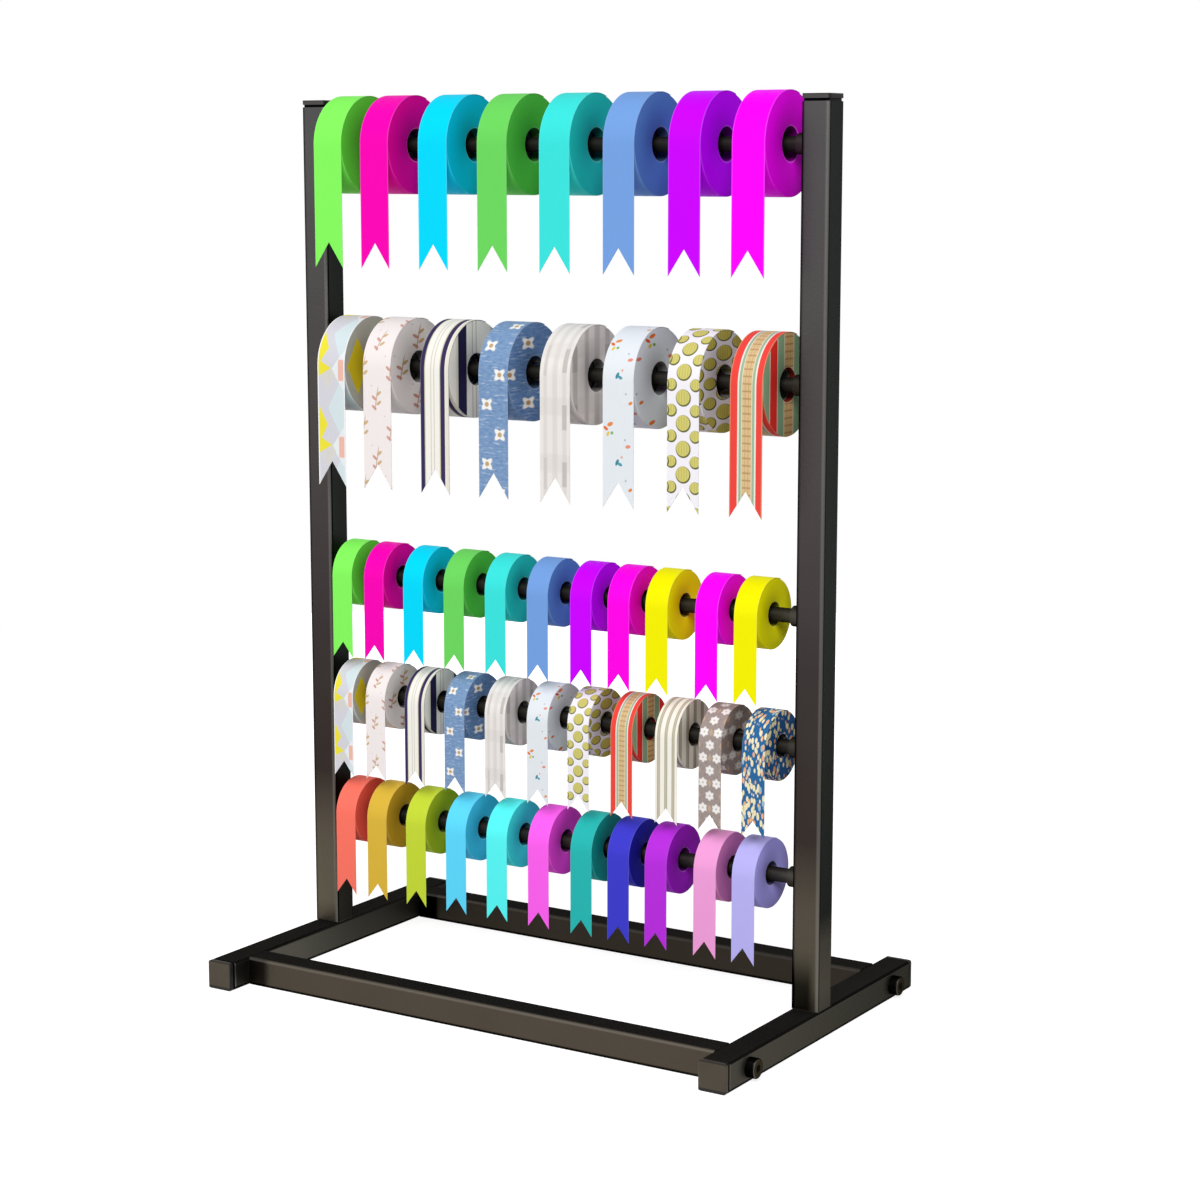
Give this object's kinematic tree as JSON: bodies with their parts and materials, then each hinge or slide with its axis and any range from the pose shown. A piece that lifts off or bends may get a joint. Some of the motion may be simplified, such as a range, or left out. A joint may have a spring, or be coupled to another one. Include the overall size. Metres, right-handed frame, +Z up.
{
  "type": "ribbon rack",
  "caption": "Counter-top rack of black square tube with rods between two uprights, carrying rolls of wide and narrow ribbon that turn freely, each ribbon's notched end hanging in front.",
  "frame": {"origin": "centre of the footprint on the counter, below the middle of the rods", "axes": "+X along the rods to the right, +Y to the rear (the ribbon tails hang on the -Y side), +Z up"},
  "size_m": [0.4246, 0.26, 0.6095],
  "materials": {
    "black_paint": "satin black powder coat",
    "black_rod": "satin black",
    "black_bolt": "black oxide",
    "black_plastic": "fine matt",
    "loose_ribbon": "satin ribbon, each tail in the colour of its own roll",
    "lime_ribbon": "satin ribbon wound on a plastic core ring",
    "hot_pink_ribbon": "satin ribbon wound on a plastic core ring",
    "cyan_ribbon": "satin ribbon wound on a plastic core ring",
    "green_ribbon": "satin ribbon wound on a plastic core ring",
    "turquoise_ribbon": "satin ribbon wound on a plastic core ring",
    "cornflower_ribbon": "satin ribbon wound on a plastic core ring",
    "violet_ribbon": "satin ribbon wound on a plastic core ring",
    "magenta_ribbon": "satin ribbon wound on a plastic core ring",
    "patchwork_ribbon": "satin ribbon wound on a plastic core ring",
    "sprig_ribbon": "satin ribbon wound on a plastic core ring",
    "navy_edge_ribbon": "satin ribbon wound on a plastic core ring",
    "denim_ribbon": "satin ribbon wound on a plastic core ring",
    "plaid_ribbon": "satin ribbon wound on a plastic core ring",
    "confetti_ribbon": "satin ribbon wound on a plastic core ring",
    "dotted_ribbon": "satin ribbon wound on a plastic core ring",
    "red_edge_ribbon": "satin ribbon wound on a plastic core ring",
    "rose_ribbon": "satin ribbon wound on a plastic core ring",
    "yellow_ribbon": "satin ribbon wound on a plastic core ring",
    "striped_ribbon": "satin ribbon wound on a plastic core ring",
    "blossom_ribbon": "satin ribbon wound on a plastic core ring",
    "petal_ribbon": "satin ribbon wound on a plastic core ring",
    "coral_ribbon": "satin ribbon wound on a plastic core ring",
    "mustard_ribbon": "satin ribbon wound on a plastic core ring",
    "leaf_ribbon": "satin ribbon wound on a plastic core ring",
    "sky_ribbon": "satin ribbon wound on a plastic core ring",
    "aqua_ribbon": "satin ribbon wound on a plastic core ring",
    "orchid_ribbon": "satin ribbon wound on a plastic core ring",
    "teal_ribbon": "satin ribbon wound on a plastic core ring",
    "royal_blue_ribbon": "satin ribbon wound on a plastic core ring",
    "purple_ribbon": "satin ribbon wound on a plastic core ring",
    "pink_ribbon": "satin ribbon wound on a plastic core ring",
    "lavender_ribbon": "satin ribbon wound on a plastic core ring"
  },
  "bodies": {
    "frame": {"left_upright": "black_paint", "right_upright": "black_paint", "left_runner": "black_paint", "right_runner": "black_paint", "front_rail": "black_paint", "rear_rail": "black_paint", "tube_plugs": "black_plastic", "frame_bolts": "black_bolt", "rod_sockets": "black_paint", "hanging_rods": "black_rod", "ribbon_tails": "loose_ribbon"},
    "row_1_reel_1": {"row_1_roll_1": "lime_ribbon"},
    "row_1_reel_2": {"row_1_roll_2": "hot_pink_ribbon"},
    "row_1_reel_3": {"row_1_roll_3": "cyan_ribbon"},
    "row_1_reel_4": {"row_1_roll_4": "green_ribbon"},
    "row_1_reel_5": {"row_1_roll_5": "turquoise_ribbon"},
    "row_1_reel_6": {"row_1_roll_6": "cornflower_ribbon"},
    "row_1_reel_7": {"row_1_roll_7": "violet_ribbon"},
    "row_1_reel_8": {"row_1_roll_8": "magenta_ribbon"},
    "row_2_reel_1": {"row_2_roll_1": "patchwork_ribbon"},
    "row_2_reel_2": {"row_2_roll_2": "sprig_ribbon"},
    "row_2_reel_3": {"row_2_roll_3": "navy_edge_ribbon"},
    "row_2_reel_4": {"row_2_roll_4": "denim_ribbon"},
    "row_2_reel_5": {"row_2_roll_5": "plaid_ribbon"},
    "row_2_reel_6": {"row_2_roll_6": "confetti_ribbon"},
    "row_2_reel_7": {"row_2_roll_7": "dotted_ribbon"},
    "row_2_reel_8": {"row_2_roll_8": "red_edge_ribbon"},
    "row_3_reel_1": {"row_3_roll_1": "lime_ribbon"},
    "row_3_reel_2": {"row_3_roll_2": "hot_pink_ribbon"},
    "row_3_reel_3": {"row_3_roll_3": "cyan_ribbon"},
    "row_3_reel_4": {"row_3_roll_4": "green_ribbon"},
    "row_3_reel_5": {"row_3_roll_5": "turquoise_ribbon"},
    "row_3_reel_6": {"row_3_roll_6": "cornflower_ribbon"},
    "row_3_reel_7": {"row_3_roll_7": "violet_ribbon"},
    "row_3_reel_8": {"row_3_roll_8": "rose_ribbon"},
    "row_3_reel_9": {"row_3_roll_9": "yellow_ribbon"},
    "row_3_reel_10": {"row_3_roll_10": "magenta_ribbon"},
    "row_3_reel_11": {"row_3_roll_11": "yellow_ribbon"},
    "row_4_reel_1": {"row_4_roll_1": "patchwork_ribbon"},
    "row_4_reel_2": {"row_4_roll_2": "sprig_ribbon"},
    "row_4_reel_3": {"row_4_roll_3": "navy_edge_ribbon"},
    "row_4_reel_4": {"row_4_roll_4": "denim_ribbon"},
    "row_4_reel_5": {"row_4_roll_5": "plaid_ribbon"},
    "row_4_reel_6": {"row_4_roll_6": "confetti_ribbon"},
    "row_4_reel_7": {"row_4_roll_7": "dotted_ribbon"},
    "row_4_reel_8": {"row_4_roll_8": "red_edge_ribbon"},
    "row_4_reel_9": {"row_4_roll_9": "striped_ribbon"},
    "row_4_reel_10": {"row_4_roll_10": "blossom_ribbon"},
    "row_4_reel_11": {"row_4_roll_11": "petal_ribbon"},
    "row_5_reel_1": {"row_5_roll_1": "coral_ribbon"},
    "row_5_reel_2": {"row_5_roll_2": "mustard_ribbon"},
    "row_5_reel_3": {"row_5_roll_3": "leaf_ribbon"},
    "row_5_reel_4": {"row_5_roll_4": "sky_ribbon"},
    "row_5_reel_5": {"row_5_roll_5": "aqua_ribbon"},
    "row_5_reel_6": {"row_5_roll_6": "orchid_ribbon"},
    "row_5_reel_7": {"row_5_roll_7": "teal_ribbon"},
    "row_5_reel_8": {"row_5_roll_8": "royal_blue_ribbon"},
    "row_5_reel_9": {"row_5_roll_9": "purple_ribbon"},
    "row_5_reel_10": {"row_5_roll_10": "pink_ribbon"},
    "row_5_reel_11": {"row_5_roll_11": "lavender_ribbon"}
  },
  "joints": [
    {"name": "row_1_turn_1", "type": "hinge", "parent": "frame", "child": "row_1_reel_1", "pos_m": [0, 0, 0.576], "axis": [1, 0, 0], "continuous": true},
    {"name": "row_1_turn_2", "type": "hinge", "parent": "frame", "child": "row_1_reel_2", "pos_m": [0, 0, 0.576], "axis": [1, 0, 0], "continuous": true},
    {"name": "row_1_turn_3", "type": "hinge", "parent": "frame", "child": "row_1_reel_3", "pos_m": [0, 0, 0.576], "axis": [1, 0, 0], "continuous": true},
    {"name": "row_1_turn_4", "type": "hinge", "parent": "frame", "child": "row_1_reel_4", "pos_m": [0, 0, 0.576], "axis": [1, 0, 0], "continuous": true},
    {"name": "row_1_turn_5", "type": "hinge", "parent": "frame", "child": "row_1_reel_5", "pos_m": [0, 0, 0.576], "axis": [1, 0, 0], "continuous": true},
    {"name": "row_1_turn_6", "type": "hinge", "parent": "frame", "child": "row_1_reel_6", "pos_m": [0, 0, 0.576], "axis": [1, 0, 0], "continuous": true},
    {"name": "row_1_turn_7", "type": "hinge", "parent": "frame", "child": "row_1_reel_7", "pos_m": [0, 0, 0.576], "axis": [1, 0, 0], "continuous": true},
    {"name": "row_1_turn_8", "type": "hinge", "parent": "frame", "child": "row_1_reel_8", "pos_m": [0, 0, 0.576], "axis": [1, 0, 0], "continuous": true},
    {"name": "row_2_turn_1", "type": "hinge", "parent": "frame", "child": "row_2_reel_1", "pos_m": [0, 0, 0.4255], "axis": [1, 0, 0], "continuous": true},
    {"name": "row_2_turn_2", "type": "hinge", "parent": "frame", "child": "row_2_reel_2", "pos_m": [0, 0, 0.4255], "axis": [1, 0, 0], "continuous": true},
    {"name": "row_2_turn_3", "type": "hinge", "parent": "frame", "child": "row_2_reel_3", "pos_m": [0, 0, 0.4255], "axis": [1, 0, 0], "continuous": true},
    {"name": "row_2_turn_4", "type": "hinge", "parent": "frame", "child": "row_2_reel_4", "pos_m": [0, 0, 0.4255], "axis": [1, 0, 0], "continuous": true},
    {"name": "row_2_turn_5", "type": "hinge", "parent": "frame", "child": "row_2_reel_5", "pos_m": [0, 0, 0.4255], "axis": [1, 0, 0], "continuous": true},
    {"name": "row_2_turn_6", "type": "hinge", "parent": "frame", "child": "row_2_reel_6", "pos_m": [0, 0, 0.4255], "axis": [1, 0, 0], "continuous": true},
    {"name": "row_2_turn_7", "type": "hinge", "parent": "frame", "child": "row_2_reel_7", "pos_m": [0, 0, 0.4255], "axis": [1, 0, 0], "continuous": true},
    {"name": "row_2_turn_8", "type": "hinge", "parent": "frame", "child": "row_2_reel_8", "pos_m": [0, 0, 0.4255], "axis": [1, 0, 0], "continuous": true},
    {"name": "row_3_turn_1", "type": "hinge", "parent": "frame", "child": "row_3_reel_1", "pos_m": [0, 0, 0.2775], "axis": [1, 0, 0], "continuous": true},
    {"name": "row_3_turn_2", "type": "hinge", "parent": "frame", "child": "row_3_reel_2", "pos_m": [0, 0, 0.2775], "axis": [1, 0, 0], "continuous": true},
    {"name": "row_3_turn_3", "type": "hinge", "parent": "frame", "child": "row_3_reel_3", "pos_m": [0, 0, 0.2775], "axis": [1, 0, 0], "continuous": true},
    {"name": "row_3_turn_4", "type": "hinge", "parent": "frame", "child": "row_3_reel_4", "pos_m": [0, 0, 0.2775], "axis": [1, 0, 0], "continuous": true},
    {"name": "row_3_turn_5", "type": "hinge", "parent": "frame", "child": "row_3_reel_5", "pos_m": [0, 0, 0.2775], "axis": [1, 0, 0], "continuous": true},
    {"name": "row_3_turn_6", "type": "hinge", "parent": "frame", "child": "row_3_reel_6", "pos_m": [0, 0, 0.2775], "axis": [1, 0, 0], "continuous": true},
    {"name": "row_3_turn_7", "type": "hinge", "parent": "frame", "child": "row_3_reel_7", "pos_m": [0, 0, 0.2775], "axis": [1, 0, 0], "continuous": true},
    {"name": "row_3_turn_8", "type": "hinge", "parent": "frame", "child": "row_3_reel_8", "pos_m": [0, 0, 0.2775], "axis": [1, 0, 0], "continuous": true},
    {"name": "row_3_turn_9", "type": "hinge", "parent": "frame", "child": "row_3_reel_9", "pos_m": [0, 0, 0.2775], "axis": [1, 0, 0], "continuous": true},
    {"name": "row_3_turn_10", "type": "hinge", "parent": "frame", "child": "row_3_reel_10", "pos_m": [0, 0, 0.2775], "axis": [1, 0, 0], "continuous": true},
    {"name": "row_3_turn_11", "type": "hinge", "parent": "frame", "child": "row_3_reel_11", "pos_m": [0, 0, 0.2775], "axis": [1, 0, 0], "continuous": true},
    {"name": "row_4_turn_1", "type": "hinge", "parent": "frame", "child": "row_4_reel_1", "pos_m": [0, 0, 0.1915], "axis": [1, 0, 0], "continuous": true},
    {"name": "row_4_turn_2", "type": "hinge", "parent": "frame", "child": "row_4_reel_2", "pos_m": [0, 0, 0.1915], "axis": [1, 0, 0], "continuous": true},
    {"name": "row_4_turn_3", "type": "hinge", "parent": "frame", "child": "row_4_reel_3", "pos_m": [0, 0, 0.1915], "axis": [1, 0, 0], "continuous": true},
    {"name": "row_4_turn_4", "type": "hinge", "parent": "frame", "child": "row_4_reel_4", "pos_m": [0, 0, 0.1915], "axis": [1, 0, 0], "continuous": true},
    {"name": "row_4_turn_5", "type": "hinge", "parent": "frame", "child": "row_4_reel_5", "pos_m": [0, 0, 0.1915], "axis": [1, 0, 0], "continuous": true},
    {"name": "row_4_turn_6", "type": "hinge", "parent": "frame", "child": "row_4_reel_6", "pos_m": [0, 0, 0.1915], "axis": [1, 0, 0], "continuous": true},
    {"name": "row_4_turn_7", "type": "hinge", "parent": "frame", "child": "row_4_reel_7", "pos_m": [0, 0, 0.1915], "axis": [1, 0, 0], "continuous": true},
    {"name": "row_4_turn_8", "type": "hinge", "parent": "frame", "child": "row_4_reel_8", "pos_m": [0, 0, 0.1915], "axis": [1, 0, 0], "continuous": true},
    {"name": "row_4_turn_9", "type": "hinge", "parent": "frame", "child": "row_4_reel_9", "pos_m": [0, 0, 0.1915], "axis": [1, 0, 0], "continuous": true},
    {"name": "row_4_turn_10", "type": "hinge", "parent": "frame", "child": "row_4_reel_10", "pos_m": [0, 0, 0.1915], "axis": [1, 0, 0], "continuous": true},
    {"name": "row_4_turn_11", "type": "hinge", "parent": "frame", "child": "row_4_reel_11", "pos_m": [0, 0, 0.1915], "axis": [1, 0, 0], "continuous": true},
    {"name": "row_5_turn_1", "type": "hinge", "parent": "frame", "child": "row_5_reel_1", "pos_m": [0, 0, 0.1055], "axis": [1, 0, 0], "continuous": true},
    {"name": "row_5_turn_2", "type": "hinge", "parent": "frame", "child": "row_5_reel_2", "pos_m": [0, 0, 0.1055], "axis": [1, 0, 0], "continuous": true},
    {"name": "row_5_turn_3", "type": "hinge", "parent": "frame", "child": "row_5_reel_3", "pos_m": [0, 0, 0.1055], "axis": [1, 0, 0], "continuous": true},
    {"name": "row_5_turn_4", "type": "hinge", "parent": "frame", "child": "row_5_reel_4", "pos_m": [0, 0, 0.1055], "axis": [1, 0, 0], "continuous": true},
    {"name": "row_5_turn_5", "type": "hinge", "parent": "frame", "child": "row_5_reel_5", "pos_m": [0, 0, 0.1055], "axis": [1, 0, 0], "continuous": true},
    {"name": "row_5_turn_6", "type": "hinge", "parent": "frame", "child": "row_5_reel_6", "pos_m": [0, 0, 0.1055], "axis": [1, 0, 0], "continuous": true},
    {"name": "row_5_turn_7", "type": "hinge", "parent": "frame", "child": "row_5_reel_7", "pos_m": [0, 0, 0.1055], "axis": [1, 0, 0], "continuous": true},
    {"name": "row_5_turn_8", "type": "hinge", "parent": "frame", "child": "row_5_reel_8", "pos_m": [0, 0, 0.1055], "axis": [1, 0, 0], "continuous": true},
    {"name": "row_5_turn_9", "type": "hinge", "parent": "frame", "child": "row_5_reel_9", "pos_m": [0, 0, 0.1055], "axis": [1, 0, 0], "continuous": true},
    {"name": "row_5_turn_10", "type": "hinge", "parent": "frame", "child": "row_5_reel_10", "pos_m": [0, 0, 0.1055], "axis": [1, 0, 0], "continuous": true},
    {"name": "row_5_turn_11", "type": "hinge", "parent": "frame", "child": "row_5_reel_11", "pos_m": [0, 0, 0.1055], "axis": [1, 0, 0], "continuous": true}
  ]
}
